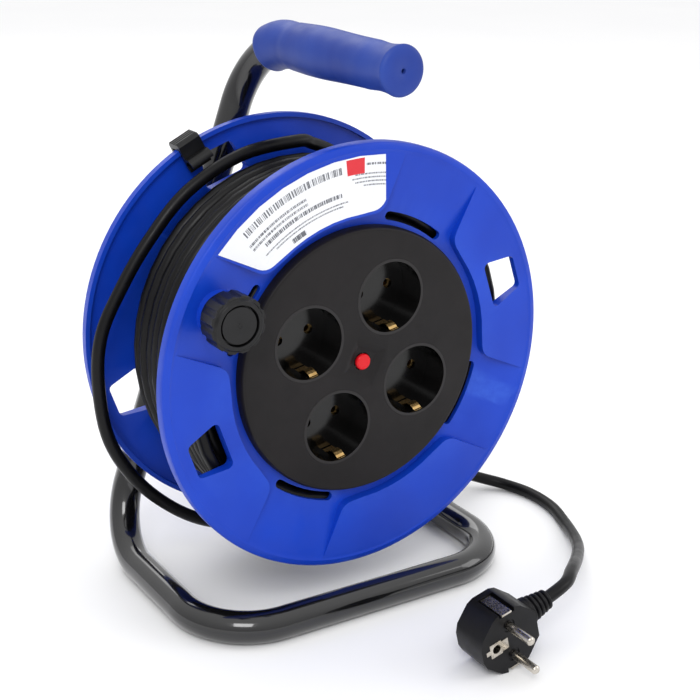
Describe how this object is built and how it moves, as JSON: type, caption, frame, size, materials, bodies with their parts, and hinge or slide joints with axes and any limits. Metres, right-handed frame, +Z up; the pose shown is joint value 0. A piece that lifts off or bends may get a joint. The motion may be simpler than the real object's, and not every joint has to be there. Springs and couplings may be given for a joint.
{
  "type": "extension cord reel",
  "caption": "Cable reel with a dished two-flange drum on a bent-tube stand, carrying a round panel of earthed sockets, a winding knob and a wound lead that ends in an angled plug.",
  "frame": {"origin": "on the floor, below the middle of the drum's width and on the drum's axis seen from above", "axes": "+Z up, +X to the right seen from the front, and the socket panel faces -Y"},
  "size_m": [0.3005, 0.256, 0.3172],
  "materials": {
    "blue_moulding": "satin moulded blue",
    "grip_blue": "soft matt blue",
    "tube_black": "glossy black paint",
    "panel_black": "fine-grained warm black",
    "insert_black": "glossy black",
    "knob_black": "satin black",
    "cable_black": "satin black sheath",
    "plug_black": "satin near-black",
    "trim_black": "satin black",
    "button_red": "glossy red",
    "label_white": "printed paper-film label",
    "contact_brass": "bright brass",
    "contact_nickel": "nickel plated",
    "zinc_steel": "zinc plated"
  },
  "bodies": {
    "stand": {"upright_tube": "tube_black", "foot_tube": "tube_black", "tube_end_cap": "trim_black", "handle_grip": "grip_blue", "axle_bracket": "tube_black", "axle": "zinc_steel", "axle_nut": "zinc_steel", "thrust_washer": "zinc_steel", "retaining_washer": "zinc_steel", "retaining_bolt": "zinc_steel", "free_cord": "cable_black", "strain_relief": "plug_black", "plug_body": "plug_black", "plug_pin_1": "contact_nickel", "plug_pin_2": "contact_nickel", "plug_earth_socket": "contact_nickel", "plug_earth_clips": "contact_nickel"},
    "drum": {"front_flange": "blue_moulding", "rear_flange": "blue_moulding", "drum_core": "blue_moulding", "socket_panel": "panel_black", "socket_insert_1": "insert_black", "socket_insert_2": "insert_black", "socket_insert_3": "insert_black", "socket_insert_4": "insert_black", "earth_clips_1": "contact_brass", "earth_clips_2": "contact_brass", "earth_clips_3": "contact_brass", "earth_clips_4": "contact_brass", "pin_sleeves_1": "contact_brass", "pin_sleeves_2": "contact_brass", "pin_sleeves_3": "contact_brass", "pin_sleeves_4": "contact_brass", "cutout_housing": "insert_black", "knob_pin": "zinc_steel", "label_sticker": "label_white", "cable_clip": "trim_black", "cable_gland": "trim_black", "tie_screw_1": "zinc_steel", "tie_screw_2": "zinc_steel", "tie_screw_3": "zinc_steel", "tie_screw_4": "zinc_steel", "cable_winding": "cable_black"},
    "knob": {"winding_knob": "knob_black", "knob_cap": "knob_black"},
    "button": {"reset_button": "button_red"}
  },
  "joints": [
    {"name": "drum_spin", "type": "hinge", "parent": "stand", "child": "drum", "pos_m": [0, 0, 0.144], "axis": [0, 1, 0], "continuous": true},
    {"name": "knob_spin", "type": "hinge", "parent": "drum", "child": "knob", "pos_m": [-0.08791, -0.065, 0.18499], "axis": [0, 1, 0], "continuous": true},
    {"name": "reset_button_press", "type": "slide", "parent": "drum", "child": "button", "axis": [0, 1, 0], "range_m": [0, 0.0025], "stiffness_N_per_m": 400, "springref_m": -0.001}
  ]
}
